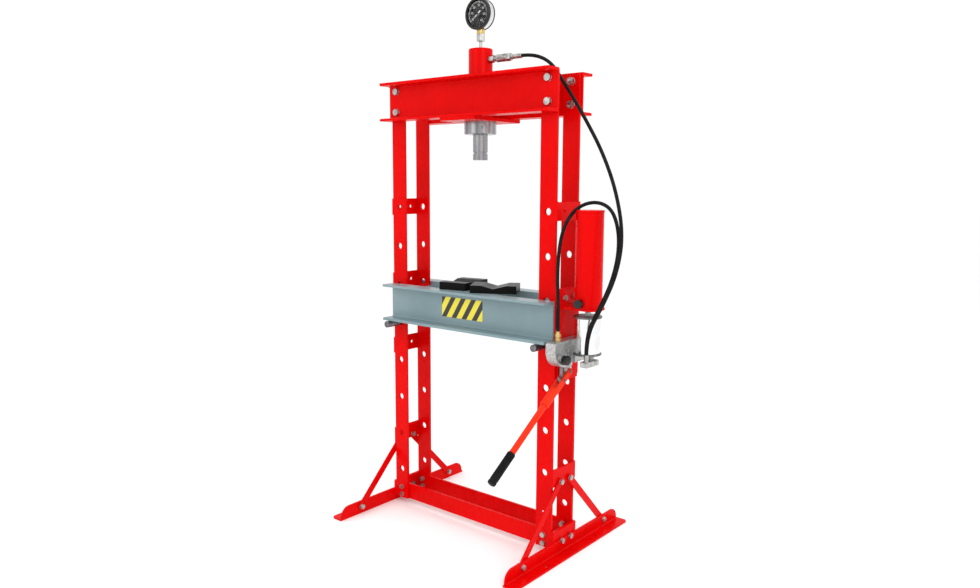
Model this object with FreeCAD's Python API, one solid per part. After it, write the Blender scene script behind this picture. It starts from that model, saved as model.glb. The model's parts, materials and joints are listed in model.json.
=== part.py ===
import FreeCAD, Part
import math
import os

os.makedirs("parts", exist_ok=True)
V = FreeCAD.Vector

# Workshop hydraulic press, millimetres.  X right, Y back, Z up.
# Origin: on the floor, under the ram axis.

# ---- overall sizes -------------------------------------------------------
post_outer_x = 383.0      # upright's outer face, each side
frame_depth = 138.0       # front post's front face to rear post's rear face
head_top = 1654.0         # top of the head beam above the floor
beam_over = 5.0           # head beam's end past the upright's outer face
bed_over = 1.0            # bed's end past the upright's outer face
foot_length = 704.0       # feet, front to back
press_gap = 0.3           # gap between pieces that rest on each other across a joint
run_fit = 0.05            # radial clearance of sliding and turning pieces

# ---- sections ------------------------------------------------------------
post_w = 65.0
post_t = 10.0
channel_h = 140.0
channel_fl = 60.0
channel_web = 7.0
channel_flt = 10.0
channel_root = 6.0
channel_toe = 5.0
tie_t = 6.0
tie_h = 62.0
foot_plate_t = 12.0
beam_h = 62.0
beam_t = 8.0
angle_leg = 50.0
angle_t = 6.0
brace_w = 25.0
brace_t = 6.0

# ---- pin rows ------------------------------------------------------------
pin_pitch = 150.0
pin_rows = 8
pin_row_top = 1192.0
bed_row = 3
pin_d = 25.0
pin_length = 290.0

# ---- heights -------------------------------------------------------------
post_bottom = 22.0
post_top = head_top - 4.0
tie_levels = (1193.0, 904.0, 646.0, 276.0)
foot_plate_h = 62.0
brace_top_z = 258.0
brace_low_z = 30.0
brace_top_y = 28.0
brace_low_y = 252.0
beam_bolt_z = (36.0, 66.0)

# ---- fasteners: thread, head across flats, head height, nut height --------
m16 = (16.0, 24.0, 10.0, 13.0)
m12 = (12.0, 18.0, 7.5, 10.0)
bolt_hole = 0.5           # radial clearance of a bolt hole
head_bolt_low = 35.0      # lower bolt row above the head beam's underside
head_bolt_high = 29.0     # upper bolt row below the head beam's top
anchor_in = 30.0          # anchor hole from the foot's inner face
anchor_y = 155.0
anchor_d = 14.0

# ---- cylinder and ram ----------------------------------------------------
cyl_od = 86.0
cyl_bore = 60.0
cyl_up = 103.0            # cylinder's top above the head beam
cyl_roof = 22.0
neck_od = 70.0
neck_up = 16.0            # top of the ram's guide above the ram plate
plate_x = 160.0
plate_y = 260.0
plate_t = 12.0
ring_od = 116.0
ring_h = 44.0
ram_d = 54.0
ram_show = 91.0
ram_stroke = 150.0
piston_h = 22.0
piston_down = 45.0        # raised piston below the cylinder's top
ram_bore = 34.0
groove_up = 25.0
port_down = 39.0          # oil port below the cylinder's top
port_reach = 185.0

# ---- gauge ---------------------------------------------------------------
gauge_up = 119.0          # gauge centre above the cylinder's top
bezel_d = 110.0
case_d = 102.0
case_front = -14.0
case_back = 20.0
bezel_front = -23.0
needle_deg = 217.0

# ---- bed -----------------------------------------------------------------
bed_side_gap = 1.0
spacer_x = 300.0
spacer_t = 10.0
block_w = 168.0           # V-block's long side, which the groove crosses at its middle
block_l = 112.0
block_t = 28.0
block_left_at = (-10.0, -72.0)
block_left_turn = 100.0
block_right_at = (38.0, -102.0)
block_right_turn = 30.0
label_left = -119.0
label_right = 77.0
label_h = 75.0
label_lift = 4.5          # label's middle above the bed channel's middle
label_t = 0.6
groove_w = 90.0
groove_d = 12.0

# ---- pump ----------------------------------------------------------------
bracket_t = 8.0
tank_out = 75.0           # tank axis from the pump block's inner face
tank_d = 93.0
tank_low = 876.0
tank_high = 1199.0
shelf_t = 8.0
barrel_low = 716.0
barrel_high = 848.0
barrel_d = 88.0
barrel_flange_d = 96.0
filler_up = 17.0          # filler hole above the tank's bottom
pump_w = 39.0
pump_low = 680.0
pump_top = 768.0
pump_front = -136.0
lever_in = 18.0           # lever's plane from the pump block's inner face
pivot_y = -30.0
pivot_z = 655.0
lever_deg = 34.4
lever_end = 495.0
grip_start = 372.0
tube_d = 21.0
grip_d = 28.0
link_arm = 42.0
lever_swing = 44.4
plunger_y = -68.0
plunger_d = 12.0
plunger_top = 715.0
knob_y = -88.0
knob_z = 706.0

# ---- hoses: control points of the centre line -----------------------------
hose_d = 12.0
hose_a = [(185, 0, 1718), (280, 0, 1718), (372, 0, 1600), (445, 0, 1495),
          (520, -10, 1385), (585, -28, 1260), (625, -48, 1125), (618, -65, 1010),
          (578, -76, 905), (514, -70, 800), (514, -70, 730)]
hose_b = [(415, -92, 800), (415, -92, 890), (415, -102, 990), (412, -85, 1100),
          (418, -55, 1168), (448, -24, 1215), (506, -8, 1228), (562, -10, 1203),
          (600, -30, 1133), (610, -50, 1050), (590, -60, 960), (545, -64, 870),
          (504, -57, 795), (504, -57, 730)]

# ---- derived -------------------------------------------------------------
half_depth = frame_depth / 2.0
beam_length = 2 * (post_outer_x + beam_over)
bed_length = 2 * (post_outer_x + bed_over)
post_mid_x = post_outer_x - post_w / 2.0
post_inner_x = post_outer_x - post_w
head_low = head_top - channel_h
bed_low = pin_row_top - bed_row * pin_pitch + pin_d / 2.0 + press_gap
bed_top = bed_low + channel_h
bed_half = half_depth + bed_side_gap
pin_z = pin_row_top - bed_row * pin_pitch
plate_low = head_low - plate_t
ring_low = plate_low - ring_h
ram_low = ring_low - ram_show
leg_x0 = post_outer_x + foot_plate_t
anchor_x = leg_x0 + anchor_in
cyl_top = head_top + cyl_up
neck_top = head_low + neck_up
piston_top = cyl_top - piston_down
port_z = cyl_top - port_down
gauge_z = cyl_top + gauge_up
tie_outer = post_outer_x + tie_t
block_x0 = tie_outer + bracket_t
block_x1 = block_x0 + pump_w
tank_x = block_x0 + tank_out
lever_x = block_x0 + lever_in
filler_z = tank_low + filler_up
manifold_top = hose_a[-1][2] - 24.0
foot_bolt_z = brace_low_z
foot_bolt_y = 26.0


def box(x0, x1, y0, y1, z0, z1):
    return Part.makeBox(x1 - x0, y1 - y0, z1 - z0, V(x0, y0, z0))


def rod(d, p, q):
    a = V(*p)
    w = V(*q) - a
    return Part.makeCylinder(d / 2.0, w.Length, a, w)


def hex_bar(across, p, q):
    a = V(*p)
    w = V(*q) - a
    r = across / math.sqrt(3.0)
    pts = [V(r * math.cos(math.radians(60 * i)), r * math.sin(math.radians(60 * i)), 0)
           for i in range(7)]
    bar = Part.Face(Part.makePolygon(pts)).extrude(V(0, 0, w.Length))
    bar.Placement = FreeCAD.Placement(a, FreeCAD.Rotation(V(0, 0, 1), w))
    return bar


def fuse(items):
    out = items[0]
    for item in items[1:]:
        out = out.fuse(item)
    return out.removeSplitter()


def fillet_edges(shape, radius, test):
    edges = [e for e in shape.Edges if test(e)]
    if not edges:
        return shape
    return shape.makeFillet(radius, edges)


def along(e, axis):
    if not isinstance(e.Curve, (Part.Line, Part.LineSegment)):
        return False
    d = e.tangentAt(e.FirstParameter)
    return abs(abs(getattr(d, axis)) - 1.0) < 1e-6


def save(name, shape):
    if isinstance(shape, list):
        shape = Part.makeCompound(shape)
    if not shape.isValid():
        raise RuntimeError("bad shape: " + name)
    shape.exportStep("parts/" + name + ".step")
    print(name, len(shape.Solids), round(shape.Volume / 1000.0, 2))


# ---- fasteners -----------------------------------------------------------
def bolt(size, p, direction, grip):
    d, across, head, nut = size
    a = V(*p)
    u = V(*direction)
    tail = a + u * (grip + nut + 0.2 * d)
    head_solid = hex_bar(across, tuple(a - u * head), tuple(a))
    shank = rod(d, tuple(a - u), tuple(tail))
    body = fuse([head_solid, shank])
    n0 = a + u * grip
    n1 = a + u * (grip + nut)
    nut_solid = hex_bar(across, tuple(n0), tuple(n1))
    nut_solid = nut_solid.cut(rod(d + 2 * run_fit, tuple(n0 - u), tuple(n1 + u)))
    return [body, nut_solid]


def bolt_cut(size, p, direction, length):
    a = V(*p) - V(*direction) * 5.0
    b = a + V(*direction) * (length + 10.0)
    return rod(size[0] + 2 * bolt_hole, tuple(a), tuple(b))


# ---- frame ---------------------------------------------------------------
def head_bolt_points():
    out = []
    for sx in (-1, 1):
        for z in (head_low + head_bolt_low, head_top - head_bolt_high):
            out.append((sx * post_mid_x, z))
    return out


def beam_bolt_points():
    return [(sx * post_mid_x, z) for sx in (-1, 1) for z in beam_bolt_z]


def post(sx, sy):
    x0, x1 = sorted((sx * post_outer_x, sx * post_inner_x))
    y0, y1 = sorted((sy * half_depth, sy * (half_depth - post_t)))
    p = box(x0, x1, y0, y1, post_bottom, post_top)
    for k in range(pin_rows):
        z = pin_row_top - k * pin_pitch
        p = p.cut(rod(pin_d + 2 * run_fit, (sx * post_mid_x, y0 - 1, z),
                      (sx * post_mid_x, y1 + 1, z)))
    for x, z in head_bolt_points():
        if x * sx > 0:
            p = p.cut(bolt_cut(m16, (x, y0, z), (0, 1, 0), post_t))
    for x, z in beam_bolt_points():
        if x * sx > 0:
            p = p.cut(bolt_cut(m12, (x, y0, z), (0, 1, 0), post_t))
    return p


def tie_plates(sx):
    out = []
    for i, z in enumerate(tie_levels):
        x0, x1 = sorted((sx * post_outer_x, sx * tie_outer))
        p = box(x0, x1, -half_depth, half_depth, z - tie_h / 2, z + tie_h / 2)
        hz = brace_top_z if i == len(tie_levels) - 1 else z
        for sy in (-1, 1):
            p = p.cut(bolt_cut(m12, (x0, sy * brace_top_y, hz), (1, 0, 0), tie_t))
        out.append(p)
    x0, x1 = sorted((sx * post_outer_x, sx * leg_x0))
    p = box(x0, x1, -half_depth, half_depth, post_bottom, post_bottom + foot_plate_h)
    for sy in (-1, 1):
        p = p.cut(bolt_cut(m12, (x0, sy * foot_bolt_y, foot_bolt_z + 14), (1, 0, 0),
                           foot_plate_t))
    out.append(p)
    return out


def channel(length, half_gap, sy, z0):
    web = box(-length / 2, length / 2, half_gap, half_gap + channel_web, z0, z0 + channel_h)
    low = box(-length / 2, length / 2, half_gap, half_gap + channel_fl, z0, z0 + channel_flt)
    top = low.copy()
    top.translate(V(0, 0, channel_h - channel_flt))
    c = fuse([web, low, top])

    def root(e):
        m = e.CenterOfMass
        inner = z0 + channel_flt - 0.1 < m.z < z0 + channel_h - channel_flt + 0.1
        return along(e, "x") and abs(m.y - half_gap - channel_web) < 0.1 and inner

    c = fillet_edges(c, channel_root, root)

    def toe(e):
        m = e.CenterOfMass
        inner = z0 + channel_flt - 0.1 < m.z < z0 + channel_h - channel_flt + 0.1
        return along(e, "x") and abs(m.y - half_gap - channel_fl) < 0.1 and inner

    c = fillet_edges(c, channel_toe, toe)
    if sy < 0:
        c = c.mirror(V(0, 0, 0), V(0, 1, 0))
    return c


def head_channel(sy):
    c = channel(beam_length, half_depth, sy, head_low)
    for x, z in head_bolt_points():
        y0 = min(sy * half_depth, sy * (half_depth + channel_web))
        c = c.cut(bolt_cut(m16, (x, y0, z), (0, 1, 0), channel_web))
    return c


def head_bolts():
    out = []
    for sy in (-1, 1):
        for x, z in head_bolt_points():
            start = (x, sy * (half_depth + channel_web), z)
            out += bolt(m16, start, (0, -sy, 0), channel_web + post_t)
    return out


def cross_beam(sy):
    y0, y1 = sorted((sy * (half_depth - post_t), sy * (half_depth - post_t - beam_t)))
    b = box(-post_mid_x - 8, post_mid_x + 8, y0, y1, post_bottom, post_bottom + beam_h)
    for x, z in beam_bolt_points():
        b = b.cut(bolt_cut(m12, (x, y0, z), (0, 1, 0), beam_t))
    return b


def foot(sx):
    h = foot_length / 2
    leg = box(leg_x0, leg_x0 + angle_t, -h + 6, h - 6, 0, angle_leg)

    def corner(e):
        return along(e, "x") and e.CenterOfMass.z > angle_leg - 1

    leg = fillet_edges(leg, 38.0, corner)
    flange = box(leg_x0, leg_x0 + angle_leg + 1, -h, h, 0, angle_t)

    def tip(e):
        return along(e, "z") and e.CenterOfMass.x > leg_x0 + 10

    flange = fillet_edges(flange, 12.0, tip)
    f = fuse([leg, flange])

    def root(e):
        m = e.CenterOfMass
        near = abs(m.x - leg_x0 - angle_t) < 0.1 and abs(m.z - angle_t) < 0.1
        return along(e, "y") and near

    f = fillet_edges(f, 5.0, root)
    for y in (-anchor_y, anchor_y):
        f = f.cut(rod(anchor_d, (anchor_x, y, -1), (anchor_x, y, angle_t + 1)))
    for y, z in foot_bolt_points():
        f = f.cut(bolt_cut(m12, (leg_x0, y, z), (1, 0, 0), angle_t))
    if sx < 0:
        f = f.mirror(V(0, 0, 0), V(1, 0, 0))
    return f


def foot_bolt_points():
    out = []
    for sy in (-1, 1):
        out.append((sy * foot_bolt_y, foot_bolt_z + 14))
        out.append((sy * brace_low_y, brace_low_z))
    return out


def brace(sx, sy):
    a = V(tie_outer, sy * brace_top_y, brace_top_z)
    b = V(tie_outer, sy * brace_low_y, brace_low_z)
    w = b - a
    bar = Part.makeBox(brace_t, brace_w, w.Length, V(0, -brace_w / 2, 0))
    ang = math.degrees(math.atan2(-w.y, w.z))
    bar.Placement = FreeCAD.Placement(a, FreeCAD.Rotation(V(1, 0, 0), ang))
    ends = [rod(brace_w, (tie_outer, p.y, p.z), (tie_outer + brace_t, p.y, p.z))
            for p in (a, b)]
    out = fuse([bar] + ends)
    for p in (a, b):
        out = out.cut(bolt_cut(m12, (tie_outer, p.y, p.z), (1, 0, 0), brace_t))
    if sx < 0:
        out = out.mirror(V(0, 0, 0), V(1, 0, 0))
    return out


def frame_bolts():
    out = []
    for sx in (-1, 1):
        for sy in (-1, 1):
            out += bolt(m12, (sx * (tie_outer + brace_t), sy * brace_top_y, brace_top_z),
                        (-sx, 0, 0), brace_t + tie_t)
            out += bolt(m12, (sx * (leg_x0 + angle_t), sy * brace_low_y, brace_low_z),
                        (-sx, 0, 0), angle_t + brace_t)
            out += bolt(m12, (sx * (leg_x0 + angle_t), sy * foot_bolt_y, foot_bolt_z + 14),
                        (-sx, 0, 0), angle_t + foot_plate_t)
    for sy in (-1, 1):
        for x, z in beam_bolt_points():
            out += bolt(m12, (x, sy * half_depth, z), (0, -sy, 0), post_t + beam_t)
    for sy in (-1, 1):
        out += bolt(m12, (tie_outer + bracket_t, sy * brace_top_y, tie_levels[1]),
                    (-1, 0, 0), bracket_t + tie_t)
    return out


# ---- hydraulic cylinder ----------------------------------------------------
def ram_plate():
    p = box(-plate_x / 2, plate_x / 2, -plate_y / 2, plate_y / 2, plate_low, head_low)
    return p.cut(rod(neck_od, (0, 0, plate_low - 1), (0, 0, head_low + 1)))


def ram_cylinder():
    c = rod(cyl_od, (0, 0, head_low), (0, 0, cyl_top))
    c = fillet_edges(c, 4.0, lambda e: abs(e.CenterOfMass.z - cyl_top) < 0.1)
    c = c.fuse(rod(neck_od, (0, 0, ring_low + 4), (0, 0, head_low)))
    c = c.cut(rod(ram_d + 2 * run_fit, (0, 0, ring_low), (0, 0, neck_top)))
    c = c.cut(rod(cyl_bore, (0, 0, neck_top), (0, 0, cyl_top - cyl_roof)))
    c = c.cut(rod(10.0, (cyl_bore / 2 - 3, 0, port_z), (cyl_od / 2 + 5, 0, port_z)))
    groove = rod(ram_d + 10, (0, 0, ring_low + 10), (0, 0, ring_low + 18))
    c = c.cut(groove)
    c = c.cut(rod(8.0, (0, 0, cyl_top - cyl_roof - 1), (0, 0, cyl_top + 1)))
    return c.removeSplitter()


def wiper_ring():
    w = rod(ram_d + 10, (0, 0, ring_low + 10), (0, 0, ring_low + 18))
    return w.cut(rod(ram_d + 2 * run_fit, (0, 0, ring_low), (0, 0, ring_low + 30)))


def lock_ring():
    r = rod(ring_od, (0, 0, ring_low), (0, 0, plate_low))
    r = fillet_edges(r, 3.0, lambda e: abs(e.CenterOfMass.z - ring_low) < 0.1)
    r = r.cut(rod(neck_od, (0, 0, ring_low + 4), (0, 0, plate_low + 1)))
    r = r.cut(rod(ram_d + 4, (0, 0, ring_low - 1), (0, 0, ring_low + 5)))
    for i in range(4):
        a = math.radians(45 + 90 * i)
        p = (math.cos(a) * ring_od / 2.6, math.sin(a) * ring_od / 2.6, ring_low + 22)
        q = (math.cos(a) * ring_od, math.sin(a) * ring_od, ring_low + 22)
        r = r.cut(rod(9.0, p, q))
    return r


def ram():
    r = rod(ram_d, (0, 0, ram_low), (0, 0, piston_top - piston_h))
    r = r.fuse(rod(cyl_bore - 2 * run_fit, (0, 0, piston_top - piston_h), (0, 0, piston_top)))
    r = r.cut(rod(ram_bore, (0, 0, ram_low + 50), (0, 0, piston_top + 1)))
    g = rod(ram_d + 2, (0, 0, ram_low + groove_up - 2.5), (0, 0, ram_low + groove_up + 2.5))
    g = g.cut(rod(ram_d - 6, (0, 0, ram_low), (0, 0, ram_low + 60)))
    r = r.cut(g)
    s = rod(cyl_bore + 2, (0, 0, piston_top - 14), (0, 0, piston_top - 8))
    s = s.cut(rod(cyl_bore - 9, (0, 0, piston_top - 20), (0, 0, piston_top)))
    r = r.cut(s)
    return r.removeSplitter()


def piston_seal():
    s = rod(cyl_bore - 2 * run_fit, (0, 0, piston_top - 14), (0, 0, piston_top - 8))
    return s.cut(rod(cyl_bore - 9, (0, 0, piston_top - 20), (0, 0, piston_top)))


def return_spring():
    lo = ram_low + 54.0
    hi = cyl_top - cyl_roof - 4.0
    wire = 4.0
    turns = 12
    helix = Part.makeHelix((hi - lo) / turns, hi - lo, 12.0)
    prof = Part.Wire(Part.makeCircle(wire / 2, V(12.0, 0, 0), V(0, 1, 0)))
    coil = Part.Wire(helix).makePipeShell([prof], True, True)
    coil.translate(V(0, 0, lo))
    return coil


def port_coupling():
    x0 = cyl_od / 2
    parts = [hex_bar(24, (x0, 0, port_z), (x0 + 22, 0, port_z)),
             rod(18, (x0 + 22, 0, port_z), (x0 + 34, 0, port_z)),
             rod(27, (x0 + 34, 0, port_z), (x0 + 78, 0, port_z)),
             hex_bar(24, (x0 + 78, 0, port_z), (x0 + 96, 0, port_z)),
             rod(17, (x0 + 96, 0, port_z), (x0 + 128, 0, port_z)),
             rod(15, (x0 + 128, 0, port_z), (port_reach, 0, port_z))]
    return fuse(parts)


# ---- gauge ---------------------------------------------------------------
def gauge_nipple():
    parts = [rod(12, (0, 0, cyl_top), (0, 0, cyl_top + 27)),
             rod(8, (0, 0, cyl_top - 12), (0, 0, cyl_top)),
             hex_bar(27, (0, 0, cyl_top + 27), (0, 0, cyl_top + 51))]
    return fuse(parts)


def gauge_neck():
    z0 = cyl_top + 51
    s = box(-11, 11, -11, 11, z0, gauge_z - case_d / 2 - 1)
    s = fillet_edges(s, 3.0, lambda e: along(e, "z"))
    stem = rod(13, (0, 3, gauge_z - case_d / 2 - 2), (0, 3, gauge_z - case_d / 2 + 8))
    return s.fuse(stem).removeSplitter()


def gauge_case():
    c = rod(case_d, (0, case_front, gauge_z), (0, case_back, gauge_z))
    c = fillet_edges(c, 5.0, lambda e: abs(e.CenterOfMass.y - case_back) < 0.1)
    c = c.cut(rod(case_d - 5, (0, case_front - 1, gauge_z), (0, case_back - 3, gauge_z)))
    c = c.cut(rod(13.2, (0, 3, gauge_z - case_d), (0, 3, gauge_z - case_d / 2 + 12)))
    c = c.cut(box(-20, 20, -11.2, 11.2, gauge_z - case_d, gauge_z - case_d / 2 - 1))
    return c


def gauge_bezel():
    b = rod(bezel_d, (0, bezel_front, gauge_z), (0, case_front + 3, gauge_z))
    b = fillet_edges(b, 3.0, lambda e: abs(e.CenterOfMass.y - bezel_front) < 0.1)
    b = b.cut(rod(92.0, (0, bezel_front - 1, gauge_z), (0, bezel_front + 3, gauge_z)))
    b = b.cut(rod(case_d + 0.1, (0, case_front - 6, gauge_z), (0, case_front + 4, gauge_z)))
    return b.cut(rod(case_d - 5, (0, bezel_front + 2, gauge_z), (0, case_front, gauge_z)))


def gauge_dial():
    d = rod(case_d - 6, (0, case_front - 2, gauge_z), (0, case_front - 1, gauge_z))
    return d.cut(rod(2.2, (0, case_front - 4, gauge_z), (0, case_front + 1, gauge_z)))


def gauge_glass():
    return rod(case_d - 6, (0, bezel_front + 3.2, gauge_z), (0, bezel_front + 5, gauge_z))


def gauge_needle():
    a = math.radians(needle_deg)
    y0 = case_front - 3.3
    u = V(math.cos(a), 0, math.sin(a))
    n = V(-u.z, 0, u.x)
    c = V(0, y0, gauge_z)
    pts = [c + u * 41, c + n * 2.2, c - u * 15 + n * 2.6, c - u * 15 - n * 2.6, c - n * 2.2]
    pts.append(pts[0])
    blade = Part.Face(Part.makePolygon(pts)).extrude(V(0, 0.8, 0))
    hub = rod(9, (0, y0 - 0.5, gauge_z), (0, y0 + 0.9, gauge_z))
    pin = rod(2.0, (0, y0, gauge_z), (0, case_front - 1, gauge_z))
    return fuse([blade, hub, pin])


# ---- bed -----------------------------------------------------------------
def bed_channel(sy):
    return channel(bed_length, bed_half, sy, bed_low)


def bed_spacers():
    out = []
    for sx in (-1, 1):
        x0, x1 = sorted((sx * spacer_x, sx * (spacer_x - spacer_t)))
        out.append(box(x0, x1, -bed_half, bed_half, bed_low + 15, bed_top - 15))
    return out


def hazard_label():
    y = -bed_half - channel_web
    mid = (bed_low + bed_top) / 2 + label_lift
    return box(label_left, label_right, y - label_t, y, mid - label_h / 2, mid + label_h / 2)


def v_block(corner, angle):
    b = box(0, block_w, 0, block_l, 0, block_t)
    b = fillet_edges(b, 2.0, lambda e: along(e, "z"))
    m = block_w / 2
    tri = Part.makePolygon([V(m - groove_w / 2, -1, block_t + 0.01), V(m, -1, block_t - groove_d),
                            V(m + groove_w / 2, -1, block_t + 0.01),
                            V(m - groove_w / 2, -1, block_t + 0.01)])
    b = b.cut(Part.Face(tri).extrude(V(0, block_l + 2, 0)))
    rot = FreeCAD.Rotation(V(0, 0, 1), angle)
    b.Placement = FreeCAD.Placement(V(corner[0], corner[1], bed_top), rot)
    return b


def bed_pin(sx):
    x = sx * post_mid_x
    p = rod(pin_d, (x, -pin_length / 2, pin_z), (x, pin_length / 2, pin_z))
    return p.makeChamfer(2.0, [e for e in p.Edges if abs(abs(e.CenterOfMass.y)
                                                         - pin_length / 2) < 0.1])


# ---- pump ----------------------------------------------------------------
def pump_bracket():
    x1 = tie_outer + bracket_t
    plate = box(tie_outer, x1, -60, 60, tie_levels[2] - 20, tie_levels[1] + 26)
    plate = fillet_edges(plate, 10.0, lambda e: along(e, "x"))
    shelf = box(tie_outer, tank_x + tank_d / 2 + 2, -48, 48, tank_low - shelf_t, tank_low)
    shelf = fillet_edges(shelf, 30.0, lambda e: along(e, "z") and e.CenterOfMass.x > tank_x)
    b = fuse([plate, shelf])
    b = b.cut(rod(15.0, (tank_x, 0, tank_low - 20), (tank_x, 0, tank_low + 5)))
    for sy in (-1, 1):
        b = b.cut(bolt_cut(m12, (tie_outer, sy * brace_top_y, tie_levels[1]), (1, 0, 0),
                           bracket_t))
    return b


def reservoir():
    body = rod(tank_d, (tank_x, 0, tank_low), (tank_x, 0, tank_high))
    low = rod(tank_d + 3, (tank_x, 0, tank_low), (tank_x, 0, tank_low + 8))
    top = rod(tank_d + 3, (tank_x, 0, tank_high - 8), (tank_x, 0, tank_high))
    t = fuse([body, low, top])
    t = fillet_edges(t, 2.5, lambda e: abs(e.CenterOfMass.z - tank_high) < 0.1)
    t = t.cut(rod(tank_d - 6, (tank_x, 0, tank_low + 6), (tank_x, 0, tank_high - 6)))
    t = t.cut(rod(18.0, (tank_x, 0, filler_z), (tank_x, -tank_d, filler_z)))
    return t.cut(rod(14.0, (tank_x, 0, tank_low - 1), (tank_x, 0, tank_low + 10)))


def filler_cap():
    y0 = -tank_d / 2 - 1
    stem = rod(18.0, (tank_x, y0 + 6, filler_z), (tank_x, y0 - 6, filler_z))
    head = rod(30.0, (tank_x, y0 - 6, filler_z), (tank_x, y0 - 22, filler_z))
    head = fillet_edges(head, 2.0, lambda e: abs(e.CenterOfMass.y - y0 + 22) < 0.1)
    return fuse([stem, head])


def tank_outlet():
    s = rod(14.0, (tank_x, 0, barrel_high), (tank_x, 0, tank_low + 6))
    h = hex_bar(19.0, (tank_x, 0, barrel_high), (tank_x, 0, barrel_high + 12))
    s = s.fuse(h).removeSplitter()
    return s.cut(rod(7.0, (tank_x, 0, barrel_high - 1), (tank_x, 0, tank_low + 7)))


def barrel_outer():
    body = rod(barrel_d, (tank_x, 0, barrel_low), (tank_x, 0, barrel_high))
    low = rod(barrel_flange_d, (tank_x, 0, barrel_low), (tank_x, 0, barrel_low + 7))
    top = rod(barrel_flange_d, (tank_x, 0, barrel_high - 7), (tank_x, 0, barrel_high))
    return fuse([body, low, top])


def pump_barrel():
    b = barrel_outer()
    b = b.cut(rod(barrel_d - 30, (tank_x, 0, barrel_low + 12),
                  (tank_x, 0, barrel_high - 12)))
    return b.cut(rod(7.0, (tank_x, 0, barrel_high - 15), (tank_x, 0, barrel_high + 1)))


def pump_block():
    y0 = pump_front
    z0 = pump_low
    z1 = pump_top
    main = box(block_x0, block_x1, y0, -34, z0, z1)

    def front_low(e):
        m = e.CenterOfMass
        return along(e, "x") and m.y < y0 + 1 and m.z < z0 + 1

    main = fillet_edges(main, 60.0, front_low)

    def front_top(e):
        m = e.CenterOfMass
        return along(e, "x") and m.y < y0 + 1 and m.z > z1 - 1

    main = fillet_edges(main, 14.0, front_top)
    rear = box(block_x0, block_x1 + 10, -34, 30, z0 + 10, z1)
    lug = box(lever_x - 6.5, lever_x + 6.5, pivot_y - 13, pivot_y + 13, pivot_z, z0 + 12)
    ear = rod(26.0, (lever_x - 6.5, pivot_y, pivot_z), (lever_x + 6.5, pivot_y, pivot_z))
    b = fuse([main, rear, lug, ear])
    b = b.cut(barrel_outer())
    pocket = box(block_x1 - 9, block_x1 + 1, y0 + 7, -44, z0 + 7, z1 - 7)
    pocket = fillet_edges(pocket, 53.0, lambda e: along(e, "x")
                          and e.CenterOfMass.y < y0 + 8 and e.CenterOfMass.z < z0 + 8)
    pocket = pocket.cut(rod(30.0, (block_x1 - 12, knob_y, knob_z),
                            (block_x1 + 4, knob_y, knob_z)))
    b = b.cut(pocket)
    b = b.cut(rod(plunger_d + 2 * run_fit, (lever_x, plunger_y, z0 - 2),
                  (lever_x, plunger_y, plunger_top + 36)))
    b = b.cut(rod(10.0 + 2 * run_fit, (lever_x - 10, pivot_y, pivot_z),
                  (lever_x + 10, pivot_y, pivot_z)))
    b = b.cut(rod(8.0 + 2 * run_fit, (block_x1 - 11, knob_y, knob_z),
                  (block_x1 + 1, knob_y, knob_z)))
    return b.removeSplitter()


def release_knob():
    x = block_x1
    stem = rod(8.0, (x - 10, knob_y, knob_z), (x + 4, knob_y, knob_z))
    head = rod(32.0, (x + 1, knob_y, knob_z), (x + 20, knob_y, knob_z))
    for i in range(6):
        a = math.radians(60 * i)
        y = knob_y + 18.5 * math.cos(a)
        z = knob_z + 18.5 * math.sin(a)
        head = head.cut(rod(9.0, (x, y, z), (x + 21, y, z)))
    return fuse([stem, head])


def hose_elbow():
    x, y, z = hose_b[0]
    top = pump_top
    parts = [rod(13, (x, y, top), (x, y, z)),
             hex_bar(17, (x, y, top), (x, y, top + 9)),
             hex_bar(19, (x, y, top + 13), (x, y, top + 24))]
    return fuse(parts)


def hose_manifold():
    block = box(tank_x + 22, tank_x + 52, -80, -6, manifold_top - 18, manifold_top)
    neck = rod(16.0, (tank_x + 26, -16, manifold_top), (tank_x + 26, -16, barrel_low))
    parts = [block, neck]
    for x, y, z in (hose_a[-1], hose_b[-1]):
        parts.append(rod(14.0, (x, y, manifold_top), (x, y, z)))
    return fuse(parts)


def plunger():
    low = pivot_z - link_arm * math.sin(math.radians(lever_deg))
    eye = box(lever_x - 5.5, lever_x + 5.5, plunger_y - 13, plunger_y + 13, low - 11, low + 11)
    stem = rod(plunger_d, (lever_x, plunger_y, low + 10), (lever_x, plunger_y, plunger_top))
    slot = box(lever_x - 10, lever_x + 10, plunger_y - 9.5, plunger_y + 9.5, low - 5.2, low + 5.2)
    return fuse([eye, stem]).cut(slot)


def on_lever(s, x=None):
    a = math.radians(lever_deg)
    return (lever_x if x is None else x, pivot_y - s * math.cos(a), pivot_z - s * math.sin(a))


def lever_bar(s0, s1, w, x0, x1):
    bar = Part.makeBox(x1 - x0, s1 - s0, w, V(0, -s1, -w / 2))
    bar.Placement = FreeCAD.Placement(V(x0, pivot_y, pivot_z),
                                      FreeCAD.Rotation(V(1, 0, 0), lever_deg))
    return bar


def lever_fork():
    parts = []
    for x0 in (lever_x - 12, lever_x + 7):
        x1 = x0 + 5
        parts.append(lever_bar(0, 100, 22, x0, x1))
        parts.append(rod(22, (x0, pivot_y, pivot_z), (x1, pivot_y, pivot_z)))
    parts.append(rod(30, on_lever(92), on_lever(165)))
    f = fuse(parts)
    f = f.cut(rod(tube_d, on_lever(100), on_lever(170)))
    f = f.cut(rod(10, (lever_x - 20, pivot_y, pivot_z), (lever_x + 20, pivot_y, pivot_z)))
    p = on_lever(link_arm)
    return f.cut(rod(8, (lever_x - 20, p[1], p[2]), (lever_x + 20, p[1], p[2])))


def lever_pins():
    p = on_lever(link_arm)
    a = rod(10, (lever_x - 14, pivot_y, pivot_z), (lever_x + 15, pivot_y, pivot_z))
    b = rod(8, (lever_x - 14, p[1], p[2]), (lever_x + 15, p[1], p[2]))
    return [a, b]


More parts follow.
